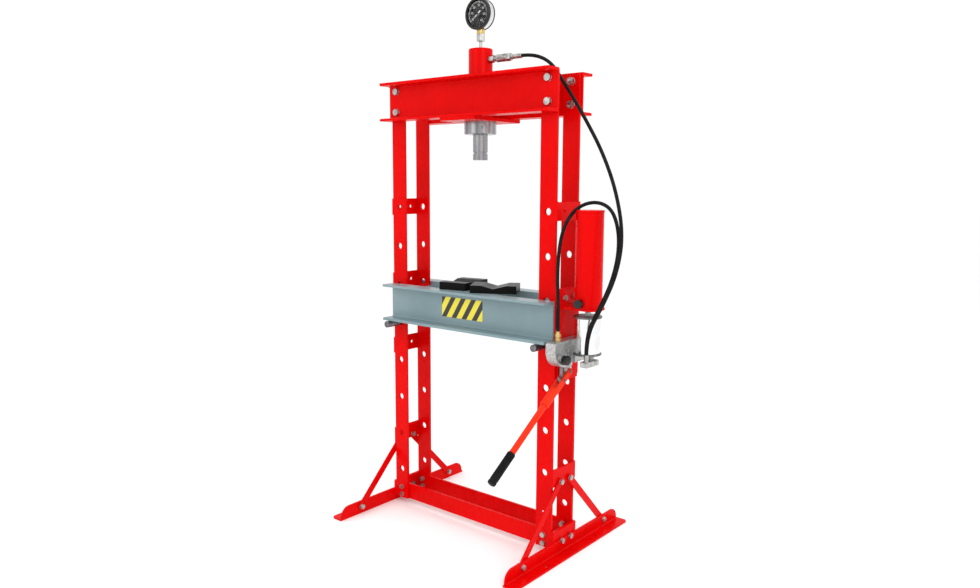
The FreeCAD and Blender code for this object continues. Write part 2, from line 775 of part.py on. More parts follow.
def lever_tube():
    t = rod(tube_d, on_lever(100), on_lever(lever_end - 6))
    return t.cut(rod(tube_d - 5, on_lever(98), on_lever(lever_end + 1)))


def lever_grip():
    g = rod(grip_d, on_lever(grip_start), on_lever(lever_end))
    return g.cut(rod(tube_d, on_lever(grip_start - 2), on_lever(lever_end - 6)))


# ---- hoses ---------------------------------------------------------------
def hose(points, name):
    pts = [V(*p) for p in points]
    edges = []
    radii = []
    start = pts[0]
    for i in range(1, len(pts) - 1):
        a = pts[i - 1] - pts[i]
        b = pts[i + 1] - pts[i]
        la = a.Length
        lb = b.Length
        a.normalize()
        b.normalize()
        turn = math.pi - a.getAngle(b)
        reach = 0.45 * min(la, lb)
        radius = reach / math.tan(turn / 2)
        radii.append(radius)
        p = pts[i] + a * reach
        q = pts[i] + b * reach
        bis = a + b
        bis.normalize()
        centre = pts[i] + bis * (radius / math.cos(turn / 2))
        mid = centre - bis * radius
        edges.append(Part.LineSegment(start, p).toShape())
        edges.append(Part.Arc(p, mid, q).toShape())
        start = q
    edges.append(Part.LineSegment(start, pts[-1]).toShape())
    path = Part.Wire(edges)
    ring = Part.Wire(Part.makeCircle(hose_d / 2, pts[0], pts[1] - pts[0]))
    tube = path.makePipeShell([ring], True, False, 1)
    length = path.Length
    ratio = tube.Volume / (math.pi * hose_d ** 2 / 4 * length)
    print(name, "radii", [round(r) for r in radii], "least", round(min(radii), 1),
          "length", round(length), "volume ratio", round(ratio, 4))
    return tube


for sx, side in ((-1, "left"), (1, "right")):
    for sy, face in ((-1, "front"), (1, "rear")):
        save("post_" + face + "_" + side, post(sx, sy))
    save("tie_plates_" + side, tie_plates(sx))
    save("foot_" + side, foot(sx))
    save("braces_" + side, [brace(sx, -1), brace(sx, 1)])
for sy, face in ((-1, "front"), (1, "rear")):
    save("head_channel_" + face, head_channel(sy))
    save("cross_beam_" + face, cross_beam(sy))
    save("bed_channel_" + face, bed_channel(sy))
save("head_bolts", head_bolts())
save("frame_bolts", frame_bolts())
save("ram_plate", ram_plate())
save("ram_cylinder", ram_cylinder())
save("wiper_ring", wiper_ring())
save("lock_ring", lock_ring())
save("ram", ram())
save("piston_seal", piston_seal())
save("return_spring", return_spring())
save("port_coupling", port_coupling())
save("gauge_nipple", gauge_nipple())
save("gauge_neck", gauge_neck())
save("gauge_case", gauge_case())
save("gauge_bezel", gauge_bezel())
save("gauge_dial", gauge_dial())
save("gauge_glass", gauge_glass())
save("gauge_needle", gauge_needle())
save("bed_spacers", bed_spacers())
save("hazard_label", hazard_label())
save("v_block_left", v_block(block_left_at, block_left_turn))
save("v_block_right", v_block(block_right_at, block_right_turn))
save("bed_pin_left", bed_pin(-1))
save("bed_pin_right", bed_pin(1))
save("pump_bracket", pump_bracket())
save("reservoir", reservoir())
save("filler_cap", filler_cap())
save("tank_outlet", tank_outlet())
save("pump_barrel", pump_barrel())
save("pump_block", pump_block())
save("release_knob", release_knob())
save("hose_elbow", hose_elbow())
save("hose_manifold", hose_manifold())
save("plunger", plunger())
save("lever_fork", lever_fork())
save("lever_pins", lever_pins())
save("lever_tube", lever_tube())
save("lever_grip", lever_grip())
save("hose_a", hose(hose_a, "hose_a"))
save("hose_b", hose(hose_b, "hose_b"))
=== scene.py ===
import bpy
import bmesh
import json
import math
from mathutils import Matrix, Vector


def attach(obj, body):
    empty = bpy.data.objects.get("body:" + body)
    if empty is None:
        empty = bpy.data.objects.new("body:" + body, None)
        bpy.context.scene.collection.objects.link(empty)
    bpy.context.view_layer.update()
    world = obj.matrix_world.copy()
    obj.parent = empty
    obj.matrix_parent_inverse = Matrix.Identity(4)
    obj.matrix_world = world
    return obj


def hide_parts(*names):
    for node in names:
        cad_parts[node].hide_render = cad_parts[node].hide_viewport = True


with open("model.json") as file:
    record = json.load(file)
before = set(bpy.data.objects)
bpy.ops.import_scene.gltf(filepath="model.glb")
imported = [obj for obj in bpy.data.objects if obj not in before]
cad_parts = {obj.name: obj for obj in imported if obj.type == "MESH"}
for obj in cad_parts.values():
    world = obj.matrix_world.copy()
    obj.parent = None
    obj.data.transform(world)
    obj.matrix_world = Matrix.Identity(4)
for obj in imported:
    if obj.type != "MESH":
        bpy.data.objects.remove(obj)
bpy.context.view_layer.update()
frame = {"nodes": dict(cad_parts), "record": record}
nodes = frame["nodes"]
scene = bpy.context.scene
MM = 0.001

# Sizes that the pieces below share with the structure, in millimetres and degrees.
POST_X = 350.5          # upright's middle
HALF_DEPTH = 69.0       # upright's outer face, front and rear
WEB_T = 7.0             # head channel's web
HEAD_LOW = 1514.0
HEAD_TOP = 1654.0
HEAD_BOLT_LOW = 35.0    # above the beam's underside
HEAD_BOLT_HIGH = 29.0   # below the beam's top
TIE_LEVELS = (1193.0, 904.0, 646.0, 276.0)
BRACE_TOP = (395, 28, 258)
BRACE_FOOT = (401, 252, 30)
FOOT_BOLT = (401, 26, 44)
BEAM_BOLT_LEVELS = (36, 66)
BRACKET_BOLT = (397, 28, 904)
GAUGE_Z = 1876.0
DIAL_Y = -16.0
NEEDLE_CAP_Y = -17.8
NEEDLE_DEG = 217.0      # the scale's zero, where the needle rests
PIVOT = Vector((415.0, -30.0, 655.0))
LEVER_DEG = 34.4        # how far the lever hangs below level
PORT_Z = 1718.0
OUTLET = (415, -92, 768)
MANIFOLD_LOW = (494, -80, 688)
MANIFOLD_HIGH = (524, -6, 706)
BARREL_X = 472.0
BARREL_LOW = 716.0
BARREL_HIGH = 848.0

# The port coupling's pieces in a row, each starting where the one before it ends.
COUPLING_X = 43         # on the cylinder's side
NIPPLE_X = COUPLING_X + 22
SLEEVE_X = NIPPLE_X + 12
SWIVEL_X = SLEEVE_X + 44
CRIMP_X = SWIVEL_X + 18

RIGHT = (1, 0, 0)
UP = (0, 0, 1)
FORWARD = (0, -1, 0)

# Sizes that only the looks have.
WASHER_T = 1.2
HOSE_D = 0.012          # in metres
STRIPE_PITCH = 0.049    # hazard stripes, in metres
STRIPE_LEAN = -0.62
STRIPE_YELLOW = 0.52    # share of a pitch


# ---- materials -----------------------------------------------------------
class Graph:
    def __init__(self, name):
        self.mat = bpy.data.materials.new(name)
        self.mat.use_nodes = True
        self.nt = self.mat.node_tree
        self.shader = self.nt.nodes["Principled BSDF"]
        self.coord = self.nt.nodes.new("ShaderNodeTexCoord").outputs["Object"]

    def node(self, kind, **sockets):
        n = self.nt.nodes.new(kind)
        for key, value in sockets.items():
            n.inputs[key.replace("_", " ")].default_value = value
        return n

    def link(self, a, b):
        self.nt.links.new(a, b)

    def noise(self, scale, detail=3.0, rough=0.5):
        n = self.node("ShaderNodeTexNoise", Scale=scale, Detail=detail, Roughness=rough)
        self.link(self.coord, n.inputs["Vector"])
        return n.outputs["Fac"]

    def stretched(self, scale, stretch, detail=4.0):
        m = self.node("ShaderNodeMapping")
        m.inputs["Scale"].default_value = stretch
        self.link(self.coord, m.inputs["Vector"])
        n = self.node("ShaderNodeTexNoise", Scale=scale, Detail=detail)
        self.link(m.outputs["Vector"], n.inputs["Vector"])
        return n.outputs["Fac"]

    def ramp(self, fac, stops):
        r = self.nt.nodes.new("ShaderNodeValToRGB")
        while len(r.color_ramp.elements) < len(stops):
            r.color_ramp.elements.new(0.5)
        for e, (pos, color) in zip(r.color_ramp.elements, stops):
            e.position = pos
            e.color = (*color, 1.0)
        self.link(fac, r.inputs["Fac"])
        return r.outputs["Color"]

    def span(self, fac, lo, hi):
        n = self.node("ShaderNodeMapRange")
        n.inputs["To Min"].default_value = lo
        n.inputs["To Max"].default_value = hi
        n.inputs["From Min"].default_value = 0.3
        n.inputs["From Max"].default_value = 0.7
        self.link(fac, n.inputs["Value"])
        return n.outputs["Result"]

    def bump(self, fac, strength, distance, edge=0.0):
        b = self.node("ShaderNodeBump", Strength=strength, Distance=distance)
        self.link(fac, b.inputs["Height"])
        if edge:
            e = self.node("ShaderNodeBevel", Radius=edge)
            e.samples = 4
            self.link(e.outputs["Normal"], b.inputs["Normal"])
        self.link(b.outputs["Normal"], self.shader.inputs["Normal"])

    def set(self, **sockets):
        for key, value in sockets.items():
            self.shader.inputs[key.replace("_", " ")].default_value = value

    def color(self, out):
        self.link(out, self.shader.inputs["Base Color"])

    def rough(self, out):
        self.link(out, self.shader.inputs["Roughness"])


def paint(name, dark, mid, light, rough, coat, edge=0.0012, specular=0.4):
    g = Graph(name)
    g.color(g.ramp(g.noise(6.0, 4.0), [(0.25, dark), (0.5, mid), (0.8, light)]))
    g.rough(g.span(g.noise(35.0, 4.0), rough - 0.05, rough + 0.08))
    g.set(Coat_Weight=coat, Coat_Roughness=0.12, Specular_IOR_Level=specular)
    g.bump(g.noise(420.0, 2.0), 0.10, 0.0004, edge)
    return g.mat


def metal(name, dark, light, rough, scale=60.0, edge=0.0006, stretch=None):
    g = Graph(name)
    base = g.noise(scale) if stretch is None else g.stretched(scale, stretch)
    g.color(g.ramp(base, [(0.3, dark), (0.7, light)]))
    g.rough(g.span(g.noise(scale * 2.5, 4.0), rough - 0.05, rough + 0.08))
    g.set(Metallic=1.0)
    g.bump(base, 0.12, 0.0002, edge)
    return g.mat


def plastic(name, dark, light, rough, grain=900.0, strength=0.2, specular=0.4):
    g = Graph(name)
    g.color(g.ramp(g.noise(30.0), [(0.3, dark), (0.7, light)]))
    g.rough(g.span(g.noise(80.0, 4.0), rough - 0.05, rough + 0.07))
    g.set(Specular_IOR_Level=specular)
    g.bump(g.noise(grain, 2.0), strength, 0.0002, 0.0004)
    return g.mat


def hazard():
    g = Graph("hazard_film")
    sep = g.nt.nodes.new("ShaderNodeSeparateXYZ")
    g.link(g.coord, sep.inputs["Vector"])
    slope = g.node("ShaderNodeMath")
    slope.operation = "MULTIPLY"
    slope.inputs[1].default_value = STRIPE_LEAN
    g.link(sep.outputs["Z"], slope.inputs[0])
    add = g.node("ShaderNodeMath")
    add.operation = "ADD"
    g.link(sep.outputs["X"], add.inputs[0])
    g.link(slope.outputs[0], add.inputs[1])
    scale = g.node("ShaderNodeMath")
    scale.operation = "MULTIPLY"
    scale.inputs[1].default_value = 1.0 / STRIPE_PITCH
    g.link(add.outputs[0], scale.inputs[0])
    part = g.node("ShaderNodeMath")
    part.operation = "FRACT"
    g.link(scale.outputs[0], part.inputs[0])
    r = g.nt.nodes.new("ShaderNodeValToRGB")
    r.color_ramp.interpolation = "CONSTANT"
    r.color_ramp.elements[0].color = (0.87, 0.74, 0.03, 1.0)
    r.color_ramp.elements[1].position = STRIPE_YELLOW
    r.color_ramp.elements[1].color = (0.012, 0.012, 0.012, 1.0)
    g.link(part.outputs[0], r.inputs["Fac"])
    g.color(r.outputs["Color"])
    g.rough(g.span(g.noise(60.0), 0.30, 0.42))
    g.set(Coat_Weight=0.3, Coat_Roughness=0.2)
    return g.mat


def glass():
    g = Graph("clear_glass")
    g.set(Base_Color=(0.93, 0.96, 0.96, 1.0), IOR=1.45, Alpha=0.16, Transmission_Weight=1.0)
    g.rough(g.span(g.noise(12.0), 0.02, 0.05))
    return g.mat


M = {
    "red_paint": paint("red_gloss_paint", (0.62, 0.0005, 0.0005), (0.70, 0.001, 0.001),
                       (0.76, 0.002, 0.002), 0.26, 0.03, specular=0.04),
    # The lever's copy of the red paint is lifted towards orange: a painted highlight standing in
    # for the key light falling on it from the right.
    "lever_painted_highlight_red": paint("lever_red_paint_with_painted_highlight", (0.70, 0.018, 0.005), (0.78, 0.030, 0.009),
                         (0.82, 0.042, 0.012), 0.30, 0.03, specular=0.04),
    "bed_paint": paint("bed_grey_blue_paint", (0.183, 0.266, 0.289), (0.212, 0.301, 0.325),
                       (0.254, 0.342, 0.360), 0.34, 0.10, specular=0.3),
    "zinc_plate": metal("zinc_plate", (0.30, 0.30, 0.29), (0.56, 0.56, 0.54), 0.30),
    "bright_plate": metal("bright_plate", (0.78, 0.79, 0.80), (0.94, 0.94, 0.95), 0.18, 30.0),
    "ground_plate": metal("ground_plate", (0.16, 0.16, 0.17), (0.46, 0.46, 0.47), 0.22, 34.0,
                          0.0006, (1.0, 1.0, 0.04)),
    "dark_steel": metal("turned_steel", (0.10, 0.10, 0.105), (0.26, 0.26, 0.27), 0.42, 90.0),
    "black_steel": paint("blackened_steel", (0.003, 0.003, 0.003), (0.006, 0.006, 0.006),
                         (0.010, 0.010, 0.010), 0.30, 0.0, specular=0.05),
    "brass": metal("turned_brass", (0.55, 0.38, 0.12), (0.80, 0.62, 0.26), 0.26),
    "stainless": metal("polished_stainless", (0.62, 0.62, 0.63), (0.86, 0.86, 0.87), 0.14, 40.0,
                       0.0004, (1.0, 12.0, 1.0)),
    "black_plastic": plastic("black_gloss_plastic", (0.004, 0.004, 0.005),
                             (0.012, 0.012, 0.013), 0.25),
    "needle_paint": plastic("light_grey_enamel", (0.66, 0.66, 0.64), (0.78, 0.78, 0.76), 0.4),
    "gauge_glass": glass(),
    "label_film": hazard(),
    "cast_alloy": metal("cast_alloy", (0.34, 0.34, 0.34), (0.62, 0.62, 0.61), 0.45, 160.0, 0.0015),
    "black_rubber": plastic("black_rubber", (0.004, 0.004, 0.004), (0.012, 0.012, 0.012), 0.45,
                            600.0, 0.35, 0.08),
    "dial_black": plastic("dial_black", (0.004, 0.004, 0.004), (0.007, 0.007, 0.007), 0.6,
                          900.0, 0.03, 0.12),
    "weld": paint("painted_weld", (0.55, 0.0005, 0.0005), (0.66, 0.001, 0.001),
                  (0.74, 0.002, 0.002), 0.30, 0.03, 0.0004, 0.04),
}

record_slot = {p["node"]: p["material_slot"] for p in frame["record"]["subparts"]}
# The lever fork and tube take the orange-lifted red, which is a painted highlight rather than a
# paint colour of their own.
special = {"lever_fork": "lever_painted_highlight_red", "lever_tube": "lever_painted_highlight_red", "gauge_dial": "dial_black",
           "ram": "ground_plate", "lock_ring": "ground_plate"}
for name, obj in nodes.items():
    mat = M[special.get(name, record_slot[name])]
    obj.data.materials.clear()
    obj.data.materials.append(mat)
    for poly in obj.data.polygons:
        poly.material_index = 0


# ---- mesh helpers --------------------------------------------------------
def finish_mesh(name, bm, mat, body, smooth=True, replaced=()):
    bmesh.ops.remove_doubles(bm, verts=bm.verts, dist=1e-7)
    bmesh.ops.recalc_face_normals(bm, faces=bm.faces)
    mesh = bpy.data.meshes.new(name)
    bm.to_mesh(mesh)
    bm.free()
    obj = bpy.data.objects.new(name, mesh)
    scene.collection.objects.link(obj)
    mesh.materials.append(M[mat])
    for poly in mesh.polygons:
        poly.use_smooth = smooth
    if smooth:
        mesh.set_sharp_from_angle(angle=math.radians(32))
    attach(obj, body)
    if replaced:
        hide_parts(*replaced)
    return obj


def basis(u):
    u = Vector(u).normalized()
    side = Vector((0, 0, 1)) if abs(u.z) < 0.9 else Vector((0, 1, 0))
    a = side.cross(u).normalized()
    return u, a, u.cross(a)


def lathe(bm, start, u, profile, seg=64, flute=None):
    """profile holds (distance along u, radius) in mm; flute(distance, angle) scales a radius."""
    u, a, b = basis(u)
    rings = []
    for s, r in profile:
        ring = []
        for i in range(seg):
            t = 2 * math.pi * i / seg
            k = r * (flute(s, t) if flute else 1.0)
            p = Vector(start) + u * s + a * (k * math.cos(t)) + b * (k * math.sin(t))
            ring.append(bm.verts.new(p * MM))
        rings.append(ring)
    for r0, r1 in zip(rings, rings[1:]):
        for i in range(seg):
            j = (i + 1) % seg
            bm.faces.new((r0[i], r0[j], r1[j], r1[i]))
    bm.faces.new(list(reversed(rings[0])))
    bm.faces.new(rings[-1])


def hexagon(bm, start, u, length, across, low=True, high=True):
    """A hexagon bar with its corners turned off at the ends."""
    u, a, b = basis(u)
    c = across * 0.075

    def ring(s, shrink):
        out = []
        for i in range(24):
            t = 2 * math.pi * i / 24
            face = math.radians(60 * round(math.degrees(t) / 60))
            r = across / 2 / math.cos(t - face)
            if shrink:
                r = min(r, across / 2 * 1.01)
            p = Vector(start) + u * s + a * (r * math.cos(t)) + b * (r * math.sin(t))
            out.append(bm.verts.new(p * MM))
        return out

    rings = []
    if low:
        rings.append(ring(0, True))
    rings.append(ring(c if low else 0, False))
    rings.append(ring(length - (c if high else 0), False))
    if high:
        rings.append(ring(length, True))
    for r0, r1 in zip(rings, rings[1:]):
        for i in range(24):
            j = (i + 1) % 24
            bm.faces.new((r0[i], r0[j], r1[j], r1[i]))
    bm.faces.new(list(reversed(rings[0])))
    bm.faces.new(rings[-1])


def thread_profile(length, r, pitch):
    out = [(0.0, r)]
    n = int(length / pitch)
    for i in range(n):
        s = i * pitch
        out += [(s + pitch * 0.25, r), (s + pitch * 0.5, r * 0.91), (s + pitch * 0.75, r)]
    out += [(length - 0.6, r), (length, r * 0.86)]
    return out


def bolt_mesh(bm, size, p, u, grip):
    """Bolt with chamfered head, washers and a threaded tail showing past its nut."""
    d, across, head, nut = size
    p, u = Vector(p), Vector(u)
    washer = [(0, across * 0.56), (0.9, across * 0.56), (WASHER_T, across * 0.54)]
    lathe(bm, p, -u, washer, 32)
    hexagon(bm, p - u * WASHER_T, -u, head - WASHER_T, across, low=False)
    far = p + u * grip
    lathe(bm, far, u, washer, 32)
    hexagon(bm, far + u * WASHER_T, u, nut - WASHER_T, across)
    lathe(bm, far + u * nut, u, thread_profile(0.2 * d, d / 2, 0.8), 24)


def bead(bm, p, q, r=2.6, step=2.4):
    """A weld bead: ripples that overlap along a straight run."""
    p, q = Vector(p), Vector(q)
    length = (q - p).length
    n = max(3, int(length / step))
    profile = [(0.0, r * 0.3)]
    for i in range(n):
        s0 = length * i / n
        for k in (0.15, 0.5, 0.85):
            swell = 0.82 + 0.18 * math.sin(math.pi * k)
            profile.append((s0 + k * length / n, r * swell))
    profile.append((length, r * 0.3))
    lathe(bm, p, q - p, profile, 12)


# ---- bolts ---------------------------------------------------------------
# Thread, width across flats, head height and nut height.
M16 = (16, 24, 10, 13)
M12 = (12, 18, 7.5, 10)


def mirrored(place, sx, sy):
    return (sx * place[0], sy * place[1], place[2])


bm = bmesh.new()
for sy in (-1, 1):
    for sx in (-1, 1):
        for z in (HEAD_LOW + HEAD_BOLT_LOW, HEAD_TOP - HEAD_BOLT_HIGH):
            bolt_mesh(bm, M16, (sx * POST_X, sy * (HALF_DEPTH + WEB_T), z), (0, -sy, 0), 17)
finish_mesh("head_bolt_set", bm, "zinc_plate", "frame", replaced=["head_bolts"])

bm = bmesh.new()
for sx in (-1, 1):
    for sy in (-1, 1):
        bolt_mesh(bm, M12, mirrored(BRACE_TOP, sx, sy), (-sx, 0, 0), 12)
        bolt_mesh(bm, M12, mirrored(BRACE_FOOT, sx, sy), (-sx, 0, 0), 12)
        bolt_mesh(bm, M12, mirrored(FOOT_BOLT, sx, sy), (-sx, 0, 0), 18)
for sy in (-1, 1):
    for sx in (-1, 1):
        for z in BEAM_BOLT_LEVELS:
            bolt_mesh(bm, M12, (sx * POST_X, sy * HALF_DEPTH, z), (0, -sy, 0), 18)
    bolt_mesh(bm, M12, mirrored(BRACKET_BOLT, 1, sy), (-1, 0, 0), 14)
finish_mesh("frame_bolt_set", bm, "zinc_plate", "frame", replaced=["frame_bolts"])

# ---- weld beads ----------------------------------------------------------
RAM_PLATE_X, RAM_PLATE_Z = 80, 1513.2
RAM_BEAD_Y = (72, 127)
TIE_BEAD_X, FOOT_BEAD_X, BRACKET_BEAD_X = 384.2, 385, 397.5
POST_BEAD_Y = (60, 68.5)
TIE_BEAD_OFF = 31
FOOT_BEAD_LEVELS = (22.5, 84)
BRACKET_BEAD_LEVELS = (876.5, 867.5)
BRACKET_BEAD_HALF = 46


def bead_along_y(bm, x, ys, z, r):
    bead(bm, (x, ys[0], z), (x, ys[1], z), r)


bm = bmesh.new()
for sx in (-1, 1):
    for sy in (-1, 1):
        bead_along_y(bm, sx * RAM_PLATE_X, [sy * y for y in RAM_BEAD_Y], RAM_PLATE_Z, 3.0)
        run = [sy * y for y in POST_BEAD_Y]
        for z in TIE_LEVELS:
            for off in (-TIE_BEAD_OFF, TIE_BEAD_OFF):
                bead_along_y(bm, sx * TIE_BEAD_X, run, z + off, 2.2)
        for z in FOOT_BEAD_LEVELS:
            bead_along_y(bm, sx * FOOT_BEAD_X, run, z, 2.2)
for z in BRACKET_BEAD_LEVELS:
    bead_along_y(bm, BRACKET_BEAD_X, (-BRACKET_BEAD_HALF, BRACKET_BEAD_HALF), z, 2.8)
finish_mesh("frame_weld_beads", bm, "weld", "frame")

# ---- gauge ---------------------------------------------------------------
CENTRE = Vector((0, DIAL_Y - 0.05, GAUGE_Z))


def on_dial(r, deg, y=0.0):
    t = math.radians(deg)
    return (CENTRE + Vector((r * math.cos(t), y, r * math.sin(t)))) * MM


def dial_strip(bm, r0, r1, deg, width):
    t = math.radians(deg)
    side = Vector((-math.sin(t), 0, math.cos(t))) * (width / 2 * MM)
    corners = ((r0, -1), (r1, -1), (r1, 1), (r0, 1))
    front = [bm.verts.new(on_dial(r, deg, -0.25) + side * k) for r, k in corners]
    back = [bm.verts.new(on_dial(r, deg, 0.0) + side * k) for r, k in corners]
    bm.faces.new(front)
    bm.faces.new(list(reversed(back)))
    for i in range(4):
        j = (i + 1) % 4
        bm.faces.new((front[i], back[i], back[j], front[j]))


def dial_ring(bm, r0, r1, d0, d1, steps):
    front, back = [], []
    for i in range(steps + 1):
        d = d0 + (d1 - d0) * i / steps
        front.append([bm.verts.new(on_dial(r, d, -0.22)) for r in (r0, r1)])
        back.append([bm.verts.new(on_dial(r, d, 0.0)) for r in (r0, r1)])
    for i in range(steps):
        f0, f1, b0, b1 = front[i], front[i + 1], back[i], back[i + 1]
        bm.faces.new((f0[0], f0[1], f1[1], f1[0]))
        bm.faces.new((b0[1], b0[0], b1[0], b1[1]))
        bm.faces.new((f0[1], b0[1], b1[1], f1[1]))
        bm.faces.new((b0[0], f0[0], f1[0], b1[0]))
    bm.faces.new((front[0][1], front[0][0], back[0][0], back[0][1]))
    bm.faces.new((front[-1][0], front[-1][1], back[-1][1], back[-1][0]))


SCALE_SWEEP = 270
SCALE_STEPS = 60
NUMBER_R = 28.5
# Inner radius, outer radius and width of each kind of mark.
TENS_MARK = (35.0, 44.6, 1.5)
FIVES_MARK = (37.5, 43.8, 1.0)
ONES_MARK = (38.6, 41.0, 0.6)

bm = bmesh.new()
dial_ring(bm, 40.6, 41.6, NEEDLE_DEG, NEEDLE_DEG - SCALE_SWEEP, 90)
for i in range(SCALE_STEPS + 1):
    inner, outer, width = ONES_MARK
    if i % 10 == 0:
        inner, outer, width = TENS_MARK
    elif i % 5 == 0:
        inner, outer, width = FIVES_MARK
    dial_strip(bm, inner, outer, NEEDLE_DEG - SCALE_SWEEP / SCALE_STEPS * i, width)
finish_mesh("gauge_scale_marks", bm, "needle_paint", "frame", smooth=False)

for i in range(7):
    d = NEEDLE_DEG - SCALE_SWEEP / 6 * i
    text = bpy.data.curves.new("gauge_number_%d" % i, "FONT")
    text.body = str(10 * i)
    text.size = 0.0105
    text.align_x = "CENTER"
    text.align_y = "CENTER"
    text.extrude = 0.0001
    num = bpy.data.objects.new("gauge_number_%d" % i, text)
    num.location = on_dial(NUMBER_R, d, -0.15)
    num.rotation_euler = (math.radians(90), 0, 0)
    scene.collection.objects.link(num)
    text.materials.append(M["needle_paint"])
    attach(num, "frame")

bm = bmesh.new()
lathe(bm, (0, NEEDLE_CAP_Y, GAUGE_Z), FORWARD, [(0, 4.4), (0.1, 4.4), (0.16, 3.9)], 32)
finish_mesh("gauge_needle_cap", bm, "black_plastic", "needle")

bm = bmesh.new()
back_rim = [(0, 51.6), (0.8, 52.6), (3.4, 52.6), (4.2, 51.6), (4.2, 48.6), (0, 48.6)]
RIM_FRONT_Y = 12.6
seg = 96
rings = []
for y, r in back_rim:
    ring = []
    for i in range(seg):
        t = 2 * math.pi * i / seg
        p = Vector((r * math.cos(t), RIM_FRONT_Y + y, GAUGE_Z + r * math.sin(t)))
        ring.append(bm.verts.new(p * MM))
    rings.append(ring)
for r0, r1 in zip(rings, rings[1:] + rings[:1]):
    for i in range(seg):
        j = (i + 1) % seg
        bm.faces.new((r0[i], r0[j], r1[j], r1[i]))
finish_mesh("gauge_rear_rim", bm, "black_plastic", "frame")

# ---- port coupling, hose fittings ------------------------------------------
bm = bmesh.new()
hexagon(bm, (COUPLING_X, 0, PORT_Z), RIGHT, NIPPLE_X - COUPLING_X, 24)
lathe(bm, (NIPPLE_X, 0, PORT_Z), RIGHT, [(-1, 8.8), (0, 9), (11, 9), (12, 10)], 48)


def knurl(s, t):
    return 1.0 + 0.022 * math.cos(36 * t) * (1.0 if 4 < s < 40 else 0.0)


sleeve = [(0, 10.5), (0.8, 13.2), (3, 13.5), (4.2, 13.5), (5, 13.1), (18, 13.1), (19, 12.2),
          (22, 12.2), (23, 13.1), (39, 13.1), (40.2, 13.5), (43, 13.5), (44, 12.0)]
lathe(bm, (SLEEVE_X, 0, PORT_Z), RIGHT, sleeve, 144, knurl)
hexagon(bm, (SWIVEL_X, 0, PORT_Z), RIGHT, CRIMP_X - SWIVEL_X, 24)
crimp = [(0, 8.2)]
for i in range(6):
    s = 2 + 5.0 * i
    crimp += [(s, 8.5), (s + 1.6, 8.5), (s + 2.4, 7.7), (s + 3.6, 7.7)]
crimp += [(32, 8.5), (44, 8.5), (45, 7.6), (46, 6.6)]
lathe(bm, (CRIMP_X, 0, PORT_Z), RIGHT, crimp, 48)
finish_mesh("port_coupling_detailed", bm, "zinc_plate", "frame", replaced=["port_coupling"])

bm = bmesh.new()
x, y, top = OUTLET
hexagon(bm, (x, y, top), UP, 9, 17, low=False)
lathe(bm, (x, y, top + 9), UP, [(-1, 5.8), (0, 6.2), (4, 6.2)], 32)
hexagon(bm, (x, y, top + 13), UP, 11, 19)
ferrule = [(-1, 6.2), (0, 6.5), (2, 6.5), (2.6, 6.0), (4, 6.0), (4.6, 6.5), (7, 6.5), (8, 6.1)]
lathe(bm, (x, y, top + 24), UP, ferrule, 32)
finish_mesh("brass_outlet_detailed", bm, "brass", "frame", replaced=["hose_elbow"])



def chamfered_block(bm, low, high, chamfer, corner):
    """A block with chamfered top and bottom edges and cut upright corners."""
    x0, y0, z0 = low
    x1, y1, z1 = high
    loops = []
    for z, inset in ((z0, chamfer), (z0 + chamfer, 0), (z1 - chamfer, 0), (z1, chamfer)):
        pts = []
        for px, py in ((x0, y0), (x1, y0), (x1, y1), (x0, y1)):
            kx = 1 if px == x0 else -1
            ky = 1 if py == y0 else -1
            pair = [(px + kx * inset + kx * corner, py + ky * inset),
                    (px + kx * inset, py + ky * inset + ky * corner)]
            if kx == ky:
                pair.reverse()
            pts += pair
        loops.append([bm.verts.new(Vector((x, y, z)) * MM) for x, y in pts])
    for l0, l1 in zip(loops, loops[1:]):
        for i in range(8):
            j = (i + 1) % 8
            bm.faces.new((l0[i], l0[j], l1[j], l1[i]))
    bm.faces.new(list(reversed(loops[0])))
    bm.faces.new(loops[-1])


# Where the two hoses' ferrules stand on the manifold.
FERRULES = ((514, -70), (504, -57))
MANIFOLD_NECK = (498, -16)
MANIFOLD_TOP = MANIFOLD_HIGH[2]
bm = bmesh.new()
for fx, fy in FERRULES:
    ridged = [(0, 6.4), (0.6, 7.0)]
    for i in range(3):
        s = 4 + 5.5 * i
        ridged += [(s, 7.0), (s + 0.8, 6.2), (s + 2.0, 6.2), (s + 2.8, 7.0)]
    ridged += [(23, 7.0), (24, 6.3)]
    lathe(bm, (fx, fy, MANIFOLD_TOP), UP, ridged, 32)
chamfered_block(bm, MANIFOLD_LOW, MANIFOLD_HIGH, 1.6, 2.0)
hexagon(bm, (*MANIFOLD_NECK, MANIFOLD_TOP), UP, 10, 17, low=False, high=False)
finish_mesh("hose_manifold_detailed", bm, "zinc_plate", "frame", replaced=["hose_manifold"])

# ---- pump barrel -----------------------------------------------------------
FLANGE_T = 7
bm = bmesh.new()
wall = [(6.6, 43.2), (7.2, 44.0), (60, 44.0), (124.8, 44.0), (125.4, 43.2)]
lathe(bm, (BARREL_X, 0, BARREL_LOW), UP, wall, 96)
finish_mesh("pump_barrel_shell", bm, "bright_plate", "frame", replaced=["pump_barrel"])
bm = bmesh.new()
for z in (BARREL_LOW, BARREL_HIGH - FLANGE_T):
    rim = [(0, 46.8), (1.2, 48.0), (5.8, 48.0), (7.0, 46.8)]
    lathe(bm, (BARREL_X, 0, z), UP, rim, 96)
finish_mesh("pump_barrel_flanges", bm, "dark_steel", "frame")

# ---- hoses ---------------------------------------------------------------
HOSE_A = [(185, 0, 1718), (280, 0, 1718), (372, 0, 1600), (445, 0, 1495),
          (520, -10, 1385), (585, -28, 1260), (625, -48, 1125), (618, -65, 1010),
          (578, -76, 905), (514, -70, 800), (514, -70, 730)]
HOSE_B = [(415, -92, 800), (415, -92, 890), (415, -102, 990), (412, -85, 1100),
          (418, -55, 1168), (448, -24, 1215), (506, -8, 1228), (562, -10, 1203),
          (600, -30, 1133), (610, -50, 1050), (590, -60, 960), (545, -64, 870),
          (504, -57, 795), (504, -57, 730)]


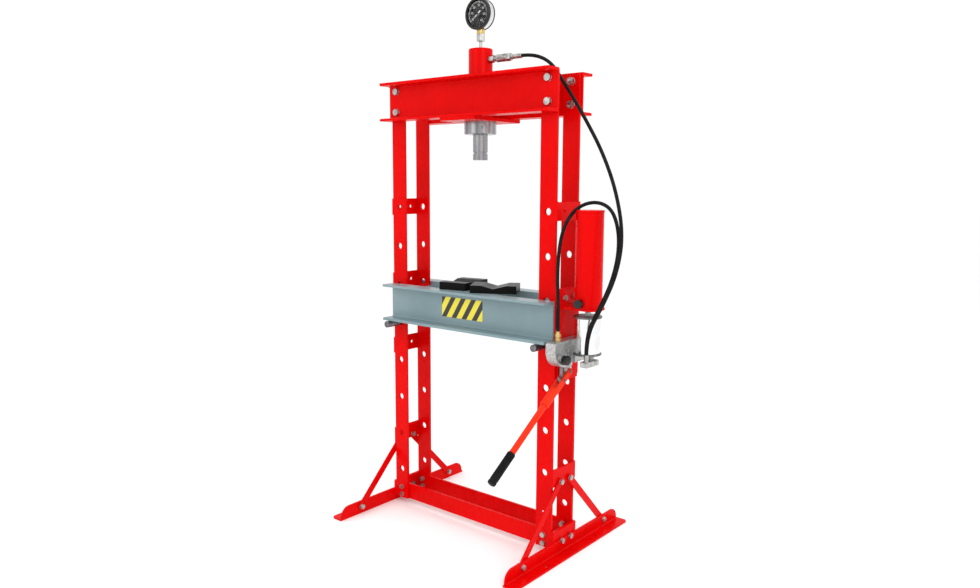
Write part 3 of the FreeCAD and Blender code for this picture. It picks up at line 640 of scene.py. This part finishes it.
def hose(name, points, replaced):
    curve = bpy.data.curves.new(name, "CURVE")
    curve.dimensions = "3D"
    curve.bevel_depth = HOSE_D / 2
    curve.bevel_resolution = 6
    curve.resolution_u = 16
    curve.use_fill_caps = True
    spline = curve.splines.new("NURBS")
    spline.points.add(len(points) - 1)
    for sp, p in zip(spline.points, points):
        sp.co = (p[0] * MM, p[1] * MM, p[2] * MM, 1.0)
    spline.order_u = 3
    spline.use_endpoint_u = True
    curve.materials.append(M["black_rubber"])
    obj = bpy.data.objects.new(name, curve)
    scene.collection.objects.link(obj)
    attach(obj, "frame")
    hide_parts(replaced)


hose("pressure_hose", HOSE_A, "hose_a")
hose("pump_hose", HOSE_B, "hose_b")

# ---- lever grip ------------------------------------------------------------
slope = math.radians(LEVER_DEG)
LEVER_DIR = Vector((0, -math.cos(slope), -math.sin(slope)))
RIB_COUNT = 15
RIB_START = 383
RIB_PITCH = 6.6


def flats(s, t):
    return 1.0 - 0.02 * (math.cos(4 * t) > 0.6)


bm = bmesh.new()
profile = [(372, 11.4), (372.6, 13.4), (374, 14.0), (380, 14.0), (381, 13.2)]
for i in range(RIB_COUNT):
    s = RIB_START + RIB_PITCH * i
    profile += [(s, 12.6), (s + 0.9, 13.8), (s + 3.4, 13.8), (s + 4.3, 12.6)]
profile += [(484, 13.2), (485, 14.0), (491, 14.0), (494, 13.0), (495, 10.5)]
lathe(bm, PIVOT, LEVER_DIR, profile, 48, flats)
finish_mesh("lever_grip_ribbed", bm, "black_rubber", "lever", replaced=["lever_grip"])

# ---- floor, lights, camera -------------------------------------------------
bm = bmesh.new()
bmesh.ops.create_grid(bm, x_segments=1, y_segments=1, size=40)
mesh = bpy.data.meshes.new("studio_floor")
bm.to_mesh(mesh)
bm.free()
floor = bpy.data.objects.new("studio_floor", mesh)
floor.location = (0, 0, -0.0005)
scene.collection.objects.link(floor)
g = Graph("studio_floor_paint")
g.color(g.ramp(g.noise(0.8), [(0.3, (0.955, 0.955, 0.955)), (0.7, (0.97, 0.97, 0.97))]))
g.set(Roughness=1.0, Specular_IOR_Level=0.0)
mesh.materials.append(g.mat)

world = bpy.data.worlds.new("studio")
scene.world = world
world.use_nodes = True
world.node_tree.nodes["Background"].inputs["Color"].default_value = (1, 1, 1, 1)
world.node_tree.nodes["Background"].inputs["Strength"].default_value = 1.04


def area(name, loc, target, size, power):
    light = bpy.data.lights.new(name, "AREA")
    light.shape = "RECTANGLE"
    light.size, light.size_y = size
    light.energy = power
    obj = bpy.data.objects.new(name, light)
    obj.location = loc
    obj.rotation_mode = "QUATERNION"
    obj.rotation_quaternion = (Vector(target) - Vector(loc)).to_track_quat("-Z", "Y")
    scene.collection.objects.link(obj)


area("key_right", (3.6, -1.6, 3.0), (0.2, 0, 0.9), (1.8, 2.4), 44)
area("front_fill", (-0.8, -4.2, 2.6), (0, 0, 0.9), (2.6, 2.2), 26)
area("top_soft", (0.2, 0.4, 4.6), (0, 0, 0.8), (2.4, 2.4), 34)

# Metres and radians: to the right of the front, and looking slightly down.
CAMERA_AT = (1.8933, -2.2535, 1.2808)
CAMERA_TURN = 0.686
CAMERA_DIP = 0.136
CAMERA_ROLL = 0.005

cam_data = bpy.data.cameras.new("camera")
cam_data.sensor_width = 36.0
cam_data.lens = 29.44
cam_data.clip_end = 200
camera = bpy.data.objects.new("camera", cam_data)
camera.matrix_world = (Matrix.Translation(CAMERA_AT)
                       @ Matrix.Rotation(CAMERA_TURN, 4, "Z")
                       @ Matrix.Rotation(math.pi / 2 - CAMERA_DIP, 4, "X")
                       @ Matrix.Rotation(CAMERA_ROLL, 4, "Z"))
scene.collection.objects.link(camera)
scene.camera = camera
scene.view_settings.view_transform = "Standard"
scene.view_settings.look = "None"

bpy.context.view_layer.update()
